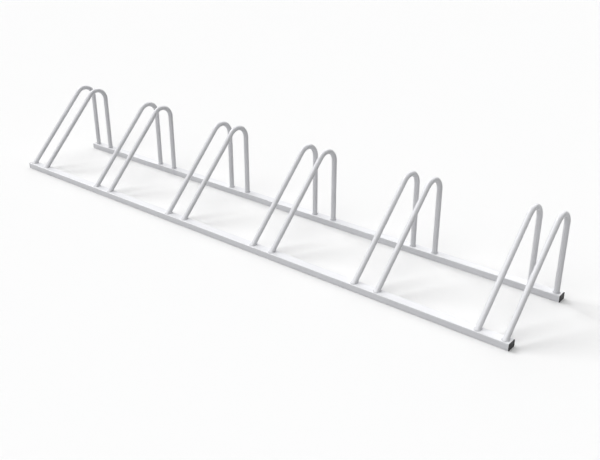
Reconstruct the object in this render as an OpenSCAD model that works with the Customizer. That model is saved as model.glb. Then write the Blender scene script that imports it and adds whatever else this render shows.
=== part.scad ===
// Floor bike rack for six bikes, a rigid welded steel frame.
// Two box-section rails lie on the floor, and pairs of bent tube hoops stand on them.
// A wheel is pushed in between the two hoops of a pair, which hold it upright.
// X runs along the rails, Y from the sloped front legs to the upright rear legs, Z up.
// The origin is on the floor, under the middle of the rack.

/* [Rack] */
// Number of wheel places along the rack
places = 6; // [1:1:12]
// Distance between neighbouring wheel places, middle to middle
place_pitch = 375; // [200:5:600]
// Clear width between the two hoops of a place, where the tyre goes
tyre_slot = 59; // [30:1:90]
// Distance between the middle lines of the two rails
rail_spacing = 300; // [240:5:450]
// Height of the hoops above the floor
rack_height = 269; // [220:5:400]
// Distance from each end of the rails to the middle of the nearest hoop
end_margin = 15; // [11:0.5:120]

/* [Rails] */
// Width of a rail, front to back
rail_width = 30; // [26:1:60]
// Height of a rail
rail_height = 20; // [18:1:60]
// Wall thickness of a rail
rail_wall = 1.5; // [1:0.25:3]
// Radius of a rail's outer corners
rail_corner = 2; // [1:0.25:5]
// Radius of a rail's inner corners
rail_inner_corner = 0.5; // [0.25:0.25:3]

/* [Hoops] */
// Outer diameter of the hoop tube
hoop_diameter = 16; // [12:1:20]
// Wall thickness of the hoop tube
hoop_wall = 1.5; // [1:0.25:3]
// Radius of the bend at the top of a hoop, at the tube's centre line
bend_radius = 41; // [25:1:80]

/* [Welds] */
// Width and height of the weld bead round each foot
weld_leg = 2.5; // [1:0.25:4]

/* [End plugs] */
// Thickness of a plug's head, which covers the end of the rail
plug_head = 2; // [1.5:0.25:5]
// Depth of a plug's body inside the rail
plug_depth = 14; // [10:1:40]
// Wall thickness of a plug's hollow body
plug_wall = 1.5; // [1:0.25:2.5]
// Width of the border round the dish in the head
plug_border = 3; // [1:0.25:5]
// Depth of the dish in the head
plug_dish = 0.6; // [0.2:0.1:1.2]
// Number of grip ribs round a plug
plug_ribs = 3; // [1:1:4]
// Thickness of a grip rib
plug_rib = 0.8; // [0.4:0.1:1.2]
// How far the grip ribs stand out from a plug's body
plug_grip = 0.5; // [0.2:0.1:1]
// Gap all round between a plug and the inside of the rail
plug_gap = 0.1; // [0.05:0.05:0.3]

/* [Hidden] */
$fn = 64;

// Extra length of every cut past the surface that it opens
overrun = 1;
// Thickness of the flat slices that a bead is stretched between
slice = 0.01;
// The bend's wall is thicker than the legs' by this much on each face, as a bending die leaves it
bend_swell = 0.1;
// The legs run this far into the bend's wall, so that a hoop is one solid
bend_lap = 1;

hoop_pair = tyre_slot + hoop_diameter;
rail_length = (places - 1) * place_pitch + hoop_pair + 2 * end_margin;
rail_y = rail_spacing / 2;
rail_bore_width = rail_width - 2 * rail_wall;
rail_bore_height = rail_height - 2 * rail_wall;

// The bend's centre lies inside the upright rear leg. The front leg runs straight from its
// foot on the front rail and meets the bend as a tangent.
bend_y = rail_y - bend_radius;
bend_z = rack_height - hoop_diameter / 2 - bend_swell - bend_radius;
bend_from_foot = [bend_y + rail_y, bend_z - rail_height];
front_slope = atan2(bend_from_foot[1], bend_from_foot[0]) + asin(bend_radius / norm(bend_from_foot));
front_leg = sqrt(pow(norm(bend_from_foot), 2) - pow(bend_radius, 2));
rear_leg = bend_z - rail_height;

// The bead's outline, as shares of its leg: how far out, then how far up.
bead_shares = [[1, 0], [0.8, 0.5], [0.15, 1]];

// The grip ribs nearly fill the rail's bore, and the plug's body is slimmer than they are.
plug_width = rail_bore_width - 2 * plug_gap;
plug_height = rail_bore_height - 2 * plug_gap;
plug_corner = rail_inner_corner;

colour_steel = [0.76, 0.77, 0.79];
colour_weld = [0.66, 0.67, 0.69];
colour_plug = [0.13, 0.13, 0.14];

SIDES = ["left", "right"];

function side_sign(side) = side == "left" ? -1 : 1;
function place_x(place) = (place - (places + 1) / 2) * place_pitch;
function hoop_x(place, side) = place_x(place) + side_sign(side) * hoop_pair / 2;

// A box outline with round corners.
module rounded_box(width, height, corner) {
    square([width - 2 * corner, height], center = true);
    square([width, height - 2 * corner], center = true);
    for (x = [-1, 1], y = [-1, 1])
        translate([x * (width / 2 - corner), y * (height / 2 - corner)]) circle(r = corner);
}

// A bar along X, from zero, with a box outline that is given as width, height and corner.
module box_bar(length, width, height, corner) {
    rotate([90, 0, 90]) linear_extrude(length) rounded_box(width, height, corner);
}

// The solid outside of a rail, from end to end.
module rail_body(y) {
    translate([-rail_length / 2, y, rail_height / 2])
        box_bar(rail_length, rail_width, rail_height, rail_corner);
}

// A floor rail: box-section tube, open at both ends until its plugs go in.
module rail(y) {
    color(colour_steel) difference() {
        rail_body(y);
        translate([-rail_length / 2 - overrun, y, rail_height / 2])
            box_bar(rail_length + 2 * overrun, rail_bore_width, rail_bore_height, rail_inner_corner);
    }
}

// Puts what follows at the front foot, with Z along the front leg.
module at_front_foot() {
    translate([0, -rail_y, rail_height]) rotate([front_slope - 90, 0, 0]) children();
}

// The round outline of the hoop tube, with its bore.
module tube_outline(swell) {
    difference() {
        circle(d = hoop_diameter + 2 * swell);
        circle(d = hoop_diameter - 2 * hoop_wall - 2 * swell);
    }
}

// One hoop: a tube bent once, with both feet cut flat where they stand on the rails. The seam
// of each stretch lies on the outside of the bend.
module hoop(place, side) {
    color(colour_steel) translate([hoop_x(place, side), 0, 0]) difference() {
        union() {
            translate([0, rail_y, rail_height - hoop_diameter]) rotate([0, 0, 90])
                linear_extrude(hoop_diameter + rear_leg + bend_lap) tube_outline(0);
            translate([0, bend_y, bend_z]) rotate([90, 0, 90])
                rotate_extrude(angle = 90 + front_slope)
                    translate([bend_radius, 0]) tube_outline(bend_swell);
            at_front_foot() translate([0, 0, -hoop_diameter]) rotate([0, 0, -90])
                linear_extrude(hoop_diameter + front_leg + bend_lap) tube_outline(0);
        }
        translate([-hoop_diameter, -rail_y - 2 * hoop_diameter, rail_height - 2 * hoop_diameter])
            cube([2 * hoop_diameter, rail_spacing + 4 * hoop_diameter, 2 * hoop_diameter]);
    }
}

// One level of the sloped foot's bead: an oval round the leg, out and up by a share of the leg.
module bead_level(out_share, up_share) {
    out = out_share * weld_leg;
    up = up_share * weld_leg;
    oval = [for (turn = [0 : 360 / $fn : 359])
        [(hoop_diameter / 2 + out) * cos(turn), (hoop_diameter / 2 / sin(front_slope) + out) * sin(turn)]];
    translate([0, up / tan(front_slope), up]) linear_extrude(slice) polygon(oval);
}

// The bead round the sloped front foot. It runs down over the rail's corners where it reaches them.
module front_bead() {
    difference() {
        translate([0, -rail_y, rail_height]) hull() {
            translate([0, 0, -weld_leg / 2]) bead_level(1, 0);
            for (level = bead_shares) bead_level(level[0], level[1]);
        }
        at_front_foot() translate([0, 0, -2 * hoop_diameter])
            cylinder(d = hoop_diameter, h = 4 * hoop_diameter);
        rail_body(-rail_y);
    }
}

// The bead round the upright rear foot.
module rear_bead() {
    outline = [for (level = bead_shares) [hoop_diameter / 2 + level[0] * weld_leg, level[1] * weld_leg]];
    translate([0, rail_y, rail_height]) rotate_extrude()
        polygon(concat([[hoop_diameter / 2, 0]], outline, [[hoop_diameter / 2, weld_leg]]));
}

// The two weld beads that hold one hoop.
module hoop_welds(place, side) {
    color(colour_weld) translate([hoop_x(place, side), 0, 0]) {
        front_bead($fn = 32);
        rear_bead();
    }
}

// An end plug, drawn with the end of the rail at zero and its body along X: a dished head as
// large as the rail, a hollow body that is open inwards, and grip ribs round it.
module plug() {
    body_width = plug_width - 2 * plug_grip;
    body_height = plug_height - 2 * plug_grip;
    rib_step = plug_depth / (plug_ribs + 1);
    difference() {
        union() {
            translate([-plug_head, 0, 0]) box_bar(plug_head, rail_width, rail_height, rail_corner);
            box_bar(plug_depth, body_width, body_height, plug_corner);
            for (rib = [1 : plug_ribs])
                translate([rib * rib_step - plug_rib / 2, 0, 0])
                    box_bar(plug_rib, plug_width, plug_height, plug_corner);
        }
        box_bar(plug_depth + overrun,
            body_width - 2 * plug_wall, body_height - 2 * plug_wall, plug_corner);
        translate([-plug_head - overrun, 0, 0]) box_bar(plug_dish + overrun,
            rail_width - 2 * plug_border, rail_height - 2 * plug_border, rail_corner);
    }
}

// A plug pushed into one end of a rail, up to its head.
module end_plug(y, side) {
    color(colour_plug) translate([side_sign(side) * rail_length / 2, y, rail_height / 2])
        mirror([side == "right" ? 1 : 0, 0, 0]) plug();
}

rail(-rail_y);  // front_rail
rail(rail_y);  // rear_rail
for (place = [1 : places], side = SIDES) {
    hoop(place, side);
    hoop_welds(place, side);
}
for (side = SIDES) {
    end_plug(-rail_y, side);
    end_plug(rail_y, side);
}
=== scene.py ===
import math
import random

import bpy
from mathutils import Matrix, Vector


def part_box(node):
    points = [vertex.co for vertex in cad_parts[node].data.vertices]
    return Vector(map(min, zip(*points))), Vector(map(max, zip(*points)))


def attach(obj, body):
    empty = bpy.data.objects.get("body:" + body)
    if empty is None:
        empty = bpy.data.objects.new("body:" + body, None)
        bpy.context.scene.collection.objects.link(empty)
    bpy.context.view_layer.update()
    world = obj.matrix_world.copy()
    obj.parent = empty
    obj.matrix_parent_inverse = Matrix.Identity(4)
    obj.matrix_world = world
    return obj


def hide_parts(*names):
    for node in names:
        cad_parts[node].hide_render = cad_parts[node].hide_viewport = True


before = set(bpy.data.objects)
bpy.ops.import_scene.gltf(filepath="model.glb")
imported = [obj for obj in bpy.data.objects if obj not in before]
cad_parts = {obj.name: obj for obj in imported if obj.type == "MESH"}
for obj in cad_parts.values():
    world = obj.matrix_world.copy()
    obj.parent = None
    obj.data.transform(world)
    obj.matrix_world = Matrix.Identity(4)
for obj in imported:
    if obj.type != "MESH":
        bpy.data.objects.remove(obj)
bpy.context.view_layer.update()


# The picture
# The rack was photographed in a white studio, from in front of it and to its right, at about
# chest height. The lens is a little longer than normal, so the far end looks a third smaller.
scene = bpy.context.scene
scene.view_settings.view_transform = "Standard"

camera_data = bpy.data.cameras.new("camera")
camera_data.sensor_width = 36
camera_data.lens = 47.78
camera_data.clip_end = 500
camera = bpy.data.objects.new("camera", camera_data)
camera_turn, camera_tilt = math.radians(39.311), math.radians(24.921)
camera.location = (1.6247, -1.7284, 1.0701)
camera.rotation_euler = (math.pi / 2 - camera_tilt, 0, camera_turn)
scene.collection.objects.link(camera)
scene.camera = camera


# The studio
# A white floor runs on without an edge, and everything mirrored is white too. Soft lamps light the
# rack from the front and from behind, and a harder one from its left.
def new_material(name):
    material = bpy.data.materials.new(name)
    material.use_nodes = True
    material.node_tree.nodes.clear()
    return material, material.node_tree.nodes, material.node_tree.links


def seen_white(nodes, links):
    """One for rays that see the studio, straight or in a gloss, and zero for those that light it."""
    ray = nodes.new("ShaderNodeLightPath")
    seen = ray.outputs["Is Camera Ray"]
    for kind in ("Is Glossy Ray", "Is Transmission Ray"):
        either = nodes.new("ShaderNodeMath")
        either.operation = "MAXIMUM"
        links.new(seen, either.inputs[0])
        links.new(ray.outputs[kind], either.inputs[1])
        seen = either.outputs[0]
    return seen


floor_reach = 120
floor_bounce = (0.50, 0.50, 0.50, 1)
floor_seen = (0.912, 0.912, 0.912, 1)
floor_mesh = bpy.data.meshes.new("floor")
floor_corners = [(-floor_reach, -floor_reach, 0), (floor_reach, -floor_reach, 0),
                 (floor_reach, floor_reach, 0), (-floor_reach, floor_reach, 0)]
floor_mesh.from_pydata(floor_corners, [], [(0, 1, 2, 3)])
floor = bpy.data.objects.new("floor", floor_mesh)
scene.collection.objects.link(floor)
floor_material, nodes, links = new_material("studio_floor")
floor_colour = nodes.new("ShaderNodeMix")
floor_colour.data_type = "RGBA"
floor_colour.inputs["A"].default_value = floor_bounce
floor_colour.inputs["B"].default_value = floor_seen
links.new(seen_white(nodes, links), floor_colour.inputs["Factor"])
floor_shader = nodes.new("ShaderNodeBsdfDiffuse")
links.new(floor_colour.outputs["Result"], floor_shader.inputs["Color"])
floor_output = nodes.new("ShaderNodeOutputMaterial")
links.new(floor_shader.outputs[0], floor_output.inputs["Surface"])
floor_mesh.materials.append(floor_material)

world = bpy.data.worlds.new("studio")
world.use_nodes = True
nodes, links = world.node_tree.nodes, world.node_tree.links
nodes.clear()
world_light = nodes.new("ShaderNodeBackground")
world_light.inputs["Color"].default_value = (1, 1, 1, 1)
links.new(seen_white(nodes, links), world_light.inputs["Strength"])
world_output = nodes.new("ShaderNodeOutputWorld")
links.new(world_light.outputs[0], world_output.inputs["Surface"])
scene.world = world

# Each lamp has the side that its light comes from, its width in degrees, and its strength.
lamps = {"lamp_front": ((0, -1, 1), 60, 1.51), "lamp_left": ((-1, 0, 1), 30, 1.72),
         "lamp_back": ((0, 1, 1), 60, 1.13), "lamp_back_left": ((-1, 1, 1), 60, 0.51)}
for name, (light_from, width, energy) in lamps.items():
    lamp = bpy.data.objects.new(name, bpy.data.lights.new(name, "SUN"))
    lamp.data.energy = energy
    lamp.data.angle = math.radians(width)
    lamp.rotation_euler = Vector(light_from).to_track_quat("Z", "Y").to_euler()
    scene.collection.objects.link(lamp)


# The two rails
# Each rail is a length of box-section steel tube that lies flat on the floor. Its corners are
# round, plugs cover its open ends, and it has a smooth silver-grey coat.
cloud_dark, cloud_light = 0.95, 1.04
gloss_spread = 0.05
grain_height = 0.0001
sharp_angle = math.radians(30)


def uneven(nodes, links, scale, detail):
    """A field of soft spots on the piece itself, this fine and with this much smaller detail."""
    place = nodes.new("ShaderNodeTexCoord")
    spots = nodes.new("ShaderNodeTexNoise")
    spots.inputs["Scale"].default_value = scale
    spots.inputs["Detail"].default_value = detail
    links.new(place.outputs["Object"], spots.inputs["Vector"])
    return spots.outputs["Fac"]


def dress(nodes, links, shader, colours, colour_spots, roughnesses, gloss_spots, grain, grain_spots):
    """Gives a shader two colours, two roughnesses and a fine grain, each spread by its own spots."""
    tint = nodes.new("ShaderNodeMix")
    tint.data_type = "RGBA"
    tint.inputs["A"].default_value = [*colours[0], 1]
    tint.inputs["B"].default_value = [*colours[1], 1]
    links.new(colour_spots, tint.inputs["Factor"])
    links.new(tint.outputs["Result"], shader.inputs["Base Color"])

    gloss = nodes.new("ShaderNodeMapRange")
    gloss.inputs["To Min"].default_value = roughnesses[0]
    gloss.inputs["To Max"].default_value = roughnesses[1]
    links.new(gloss_spots, gloss.inputs["Value"])
    links.new(gloss.outputs[0], shader.inputs["Roughness"])

    skin = nodes.new("ShaderNodeBump")
    skin.inputs["Strength"].default_value = grain
    skin.inputs["Distance"].default_value = grain_height
    links.new(grain_spots, skin.inputs["Height"])
    links.new(skin.outputs[0], shader.inputs["Normal"])

    output = nodes.new("ShaderNodeOutputMaterial")
    links.new(shader.outputs[0], output.inputs["Surface"])


def silver_coat(name, colour, roughness, grain):
    """A satin coat on steel: faint clouds in its colour, uneven gloss and a fine orange-peel skin."""
    material, nodes, links = new_material(name)
    shader = nodes.new("ShaderNodeBsdfPrincipled")
    shader.inputs["Metallic"].default_value = 0.05
    shader.inputs["IOR"].default_value = 1.5
    colours = [c * cloud_dark for c in colour], [min(c * cloud_light, 1) for c in colour]
    roughnesses = roughness - gloss_spread, roughness + gloss_spread
    clouds = uneven(nodes, links, scale=9, detail=5)
    sheen = uneven(nodes, links, scale=45, detail=3)
    peel = uneven(nodes, links, scale=700, detail=2)
    dress(nodes, links, shader, colours, clouds, roughnesses, sheen, grain, peel)
    return material


def smooth(mesh):
    """Shades a mesh smooth but for its sharp edges."""
    mesh.shade_smooth()
    mesh.set_sharp_from_angle(angle=sharp_angle)


coat = silver_coat("silver_coat", (0.77, 0.775, 0.80), 0.35, 0.25)
for name in ("front_rail", "rear_rail"):
    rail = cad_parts[name]
    rail.data.materials.clear()
    rail.data.materials.append(coat)
    smooth(rail.data)


# The twelve hoops
# A hoop is a round steel tube with one bend: a sloped front leg, a tight turn and an upright
# rear leg. Both feet are cut flush with the tops of the rails. As in the CAD, the turn is drawn
# a tenth of a millimetre thicker than the legs, too little to see.
bend_swell = 0.0001
swell_length = 0.004
bend_radius = 0.041
tube_sides = 48
bend_rings = 36
foot_ring = 0.02
front_leg_ring = 0.08
rear_leg_ring = 0.06
places = 6
sides = ("left", "right")

rail_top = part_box("front_rail")[1].z
front_y = sum(corner.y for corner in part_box("front_rail")) / 2
rear_y = sum(corner.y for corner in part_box("rear_rail")) / 2
hoop_low, hoop_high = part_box("hoop_1_left")
tube_radius = (hoop_high.x - hoop_low.x) / 2 - bend_swell
hoop_top = hoop_high.z
bend_centre = Vector((0, rear_y - bend_radius, hoop_top - tube_radius - bend_swell - bend_radius))
foot_to_centre = bend_centre - Vector((0, front_y, rail_top))
front_slope = (math.atan2(foot_to_centre.z, foot_to_centre.y)
               + math.asin(bend_radius / foot_to_centre.length))
front_leg = math.sqrt(foot_to_centre.length ** 2 - bend_radius ** 2)
up_front = Vector((0, math.cos(front_slope), math.sin(front_slope)))


def ring(middle, along, radius):
    """A ring of points round the tube's middle line, square to it."""
    across = along.cross(Vector((1, 0, 0)))
    return [middle + radius * (math.cos(turn) * Vector((1, 0, 0)) + math.sin(turn) * across)
            for turn in (2 * math.pi * i / tube_sides for i in range(tube_sides))]


def skin_rings(name, rings, closed):
    """Joins rings of points into a mesh: round on itself if closed, or else with a cap at each end."""
    count = len(rings[0])
    faces = []
    for r in range(len(rings) if closed else len(rings) - 1):
        here, there = r * count, (r + 1) % len(rings) * count
        for i in range(count):
            following = (i + 1) % count
            faces.append((here + i, here + following, there + following, there + i))
    if not closed:
        last = (len(rings) - 1) * count
        faces.append(tuple(reversed(range(count))))
        faces.append(tuple(range(last, last + count)))
    mesh = bpy.data.meshes.new(name)
    mesh.from_pydata([point for r in rings for point in r], [], faces)
    smooth(mesh)
    return mesh


def place_piece(name, mesh, material, node):
    """Puts a finished mesh in the scene in place of its CAD node."""
    mesh.materials.append(material)
    piece = bpy.data.objects.new(name, mesh)
    scene.collection.objects.link(piece)
    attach(piece, "root")
    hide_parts(node)


def hoop_rings(x):
    """The rings of one hoop, from its front foot over the bend to its rear foot."""
    foot = Vector((x, front_y, rail_top))
    foot_cut = []
    for point in ring(foot, up_front, tube_radius):
        foot_cut.append(point + up_front * (rail_top - point.z) / up_front.z)
    rings = [foot_cut]
    reaches = (foot_ring, front_leg_ring, front_leg / 2,
               front_leg - front_leg_ring, front_leg - swell_length)
    for reach in reaches:
        rings.append(ring(foot + up_front * reach, up_front, tube_radius))
    for step in range(bend_rings + 1):
        turn = (math.pi / 2 + front_slope) * (1 - step / bend_rings)
        out = Vector((0, math.cos(turn), math.sin(turn)))
        along = Vector((0, math.sin(turn), -math.cos(turn)))
        middle = Vector((x, 0, 0)) + bend_centre + bend_radius * out
        rings.append(ring(middle, along, tube_radius + bend_swell))
    down = Vector((0, 0, -1))
    rear_leg = bend_centre.z - rail_top
    for drop in (swell_length, rear_leg_ring, rear_leg - foot_ring, rear_leg):
        rings.append(ring(Vector((x, rear_y, bend_centre.z - drop)), down, tube_radius))
    return rings


hoop_x = {}
for place in range(1, places + 1):
    for side in sides:
        node = f"hoop_{place}_{side}"
        low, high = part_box(node)
        hoop_x[place, side] = (low.x + high.x) / 2
        mesh = skin_rings(f"hoop_tube_{place}_{side}", hoop_rings(hoop_x[place, side]), False)
        place_piece(f"hoop_tube_{place}_{side}", mesh, coat, node)


# The twenty-four weld beads
# Each foot is welded to the top of its rail all round. The bead is a ring of small overlapping
# scales, a little uneven, with a lump where it starts and stops. The coat is rougher on it, and
# its colour is darker as painted shade where the foot meets the rail.
weld_leg = 0.0025
weld_sink = 0.0004
weld_toe = 1.02
weld_fill, weld_hollow = 0.9, 0.16
weld_waves, weld_wander = 5, 0.07
scale_pitch, scale_lag, scale_height = 0.0017, 0.0007, 0.13
lump_width, lump_height = 0.25, 0.22
weld_profile = 8
weld_samples = 192
# The bead's colour is darker than the rails' coat: painted shade where the foot meets the rail.
weld_coat = silver_coat("weld_coat", (0.56, 0.565, 0.585), 0.42, 0.6)


def bead_rings(foot, along, seed):
    """The cross sections of one bead, round a foot whose tube leaves the rail along a direction."""
    chance = random.Random(seed)
    lump_at = chance.uniform(0, 2 * math.pi)
    wander = [chance.uniform(-weld_wander, weld_wander) for _ in range(weld_waves)]
    oval_y = tube_radius / along.z
    rings = []
    travelled = 0
    last = None
    for i in range(weld_samples):
        turn = 2 * math.pi * i / weld_samples
        root = foot + Vector((tube_radius * math.cos(turn), oval_y * math.sin(turn), 0))
        outward = Vector((oval_y * math.cos(turn), tube_radius * math.sin(turn), 0)).normalized()
        travelled += (root - last).length if last else 0
        last = root
        swing = sum(w * math.sin((k + 2) * turn + 9 * w) for k, w in enumerate(wander))
        from_lump = (turn - lump_at + math.pi) % (2 * math.pi) - math.pi
        lump = lump_height * math.exp(-(from_lump / lump_width) ** 2)
        section = [root - outward * weld_sink - Vector((0, 0, weld_sink))]
        section.append(root + outward * weld_leg * weld_toe - Vector((0, 0, weld_sink)))
        for k in range(weld_profile + 1):
            lean = math.pi / 2 * k / weld_profile
            belly = math.sin(2 * lean)
            phase = math.pi * (travelled + scale_lag * belly) / scale_pitch
            scales = scale_height * abs(math.sin(phase)) * belly
            fillet = weld_fill - weld_hollow * belly + lump * belly
            size = weld_leg * (fillet + scales + swing)
            section.append(root + size * (math.cos(lean) * outward + math.sin(lean) * along))
        section.append(section[-1] - outward * weld_sink)
        rings.append(section)
    return rings


for place in range(1, places + 1):
    for side in sides:
        x = hoop_x[place, side]
        front = bead_rings(Vector((x, front_y, rail_top)), up_front, f"front {place} {side}")
        rear = bead_rings(Vector((x, rear_y, rail_top)), Vector((0, 0, 1)), f"rear {place} {side}")
        name = f"weld_beads_{place}_{side}"
        for piece, rings in ((name, front), (name + "_rear", rear)):
            mesh = skin_rings(piece, rings, True)
            place_piece(piece, mesh, weld_coat, f"welds_{place}_{side}")


# The four end plugs
# A black moulded plastic plug closes each end of both rails. Its head is as large as the rail and
# has a soft edge, a shallow dish and the mark where the mould was filled. Ribs on its body grip.
corner_points = 6


def oblong(x, middle, half_width, half_height, corner):
    """A ring of points at one x, round a box outline with round corners."""
    points = []
    for quarter in range(4):
        for i in range(corner_points + 1):
            turn = math.pi / 2 * (quarter + i / corner_points)
            side_y = 1 if quarter in (0, 3) else -1
            side_z = 1 if quarter in (0, 1) else -1
            y = middle.y + side_y * (half_width - corner) + corner * math.cos(turn)
            z = middle.z + side_z * (half_height - corner) + corner * math.sin(turn)
            points.append(Vector((x, y, z)))
    return points


def black_plastic():
    """Moulded black plastic: a spark-eroded grain, uneven gloss and a little dust in its colour."""
    material, nodes, links = new_material("black_plastic")
    shader = nodes.new("ShaderNodeBsdfPrincipled")
    shader.inputs["IOR"].default_value = 1.49
    shader.inputs["Specular IOR Level"].default_value = 0.35
    colours = (0.006, 0.006, 0.007), (0.018, 0.018, 0.020)
    dust = uneven(nodes, links, scale=120, detail=4)
    erosion = uneven(nodes, links, scale=2500, detail=2)
    dress(nodes, links, shader, colours, dust, (0.45, 0.6), dust, 0.35, erosion)
    return material


plug_plastic = black_plastic()
head_depth, body_depth = 0.002, 0.014
head_corner, head_edge, head_back_edge = 0.002, 0.0005, 0.0002
edge_steps = 4
dish_inset, dish_depth, dish_corner, dish_soft = 0.003, 0.0006, 0.002, 0.0004
body_corner, body_inset, body_wall = 0.0005, 0.0021, 0.0015
tip_length, tip_taper = 0.0008, 0.0004
rib_steps = 4
rib_half, rib_proud = 0.0004, 0.0005
mark_roundness = 0.98

# Each ring of a plug's skin is a depth from the head's face, an inset from its edge, and a corner.
head_outline = [(dish_depth, dish_inset + dish_soft, dish_corner - dish_soft),
                (dish_depth * 0.8, dish_inset + dish_soft * 0.5, dish_corner - dish_soft * 0.5),
                (dish_depth * 0.2, dish_inset, dish_corner),
                (0, dish_inset - dish_soft, dish_corner + dish_soft),
                (0, head_edge, head_corner - head_edge)]
for step in range(1, edge_steps + 1):
    lean = math.pi / 2 * step / edge_steps
    back, inset = head_edge * (1 - math.cos(lean)), head_edge * (1 - math.sin(lean))
    head_outline.append((back, inset, head_corner - inset))
head_outline += [(head_depth - head_back_edge, 0, head_corner),
                 (head_depth, head_back_edge, head_corner - head_back_edge)]
body_outline = [(head_depth, body_inset, body_corner)]
for rib in range(1, rib_steps):
    rib_at = head_depth + body_depth * rib / rib_steps
    for lean, proud in ((-1, 0), (-0.7, rib_proud), (0.7, rib_proud), (1, 0)):
        body_outline.append((rib_at + lean * rib_half, body_inset - proud, body_corner))
body_end = head_depth + body_depth
body_outline += [(body_end - tip_length, body_inset, body_corner),
                 (body_end, body_inset + tip_taper, body_corner),
                 (body_end, body_inset + body_wall, body_corner),
                 (head_depth, body_inset + body_wall, body_corner)]
# The gate mark is a small round button in the dish: depths from the head's face, and radii.
mark_outline = [(0.0004, 0.0011), (0.00045, 0.0013), (dish_depth, 0.0014)]
for rail_name in ("front", "rear"):
    for side in sides:
        node = f"{rail_name}_rail_{side}_plug"
        low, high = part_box(node)
        middle = (low + high) / 2
        half_width, half_height = (high.y - low.y) / 2, (high.z - low.z) / 2
        face_x, inward = (low.x, 1) if side == "left" else (high.x, -1)
        rings = [oblong(face_x + inward * depth, middle, reach, reach, reach * mark_roundness)
                 for depth, reach in mark_outline]
        for depth, inset, corner in head_outline + body_outline:
            at_x = face_x + inward * depth
            rings.append(oblong(at_x, middle, half_width - inset, half_height - inset, corner))
        mesh = skin_rings(f"{rail_name}_plug_{side}", rings, False)
        place_piece(f"{rail_name}_plug_{side}", mesh, plug_plastic, node)
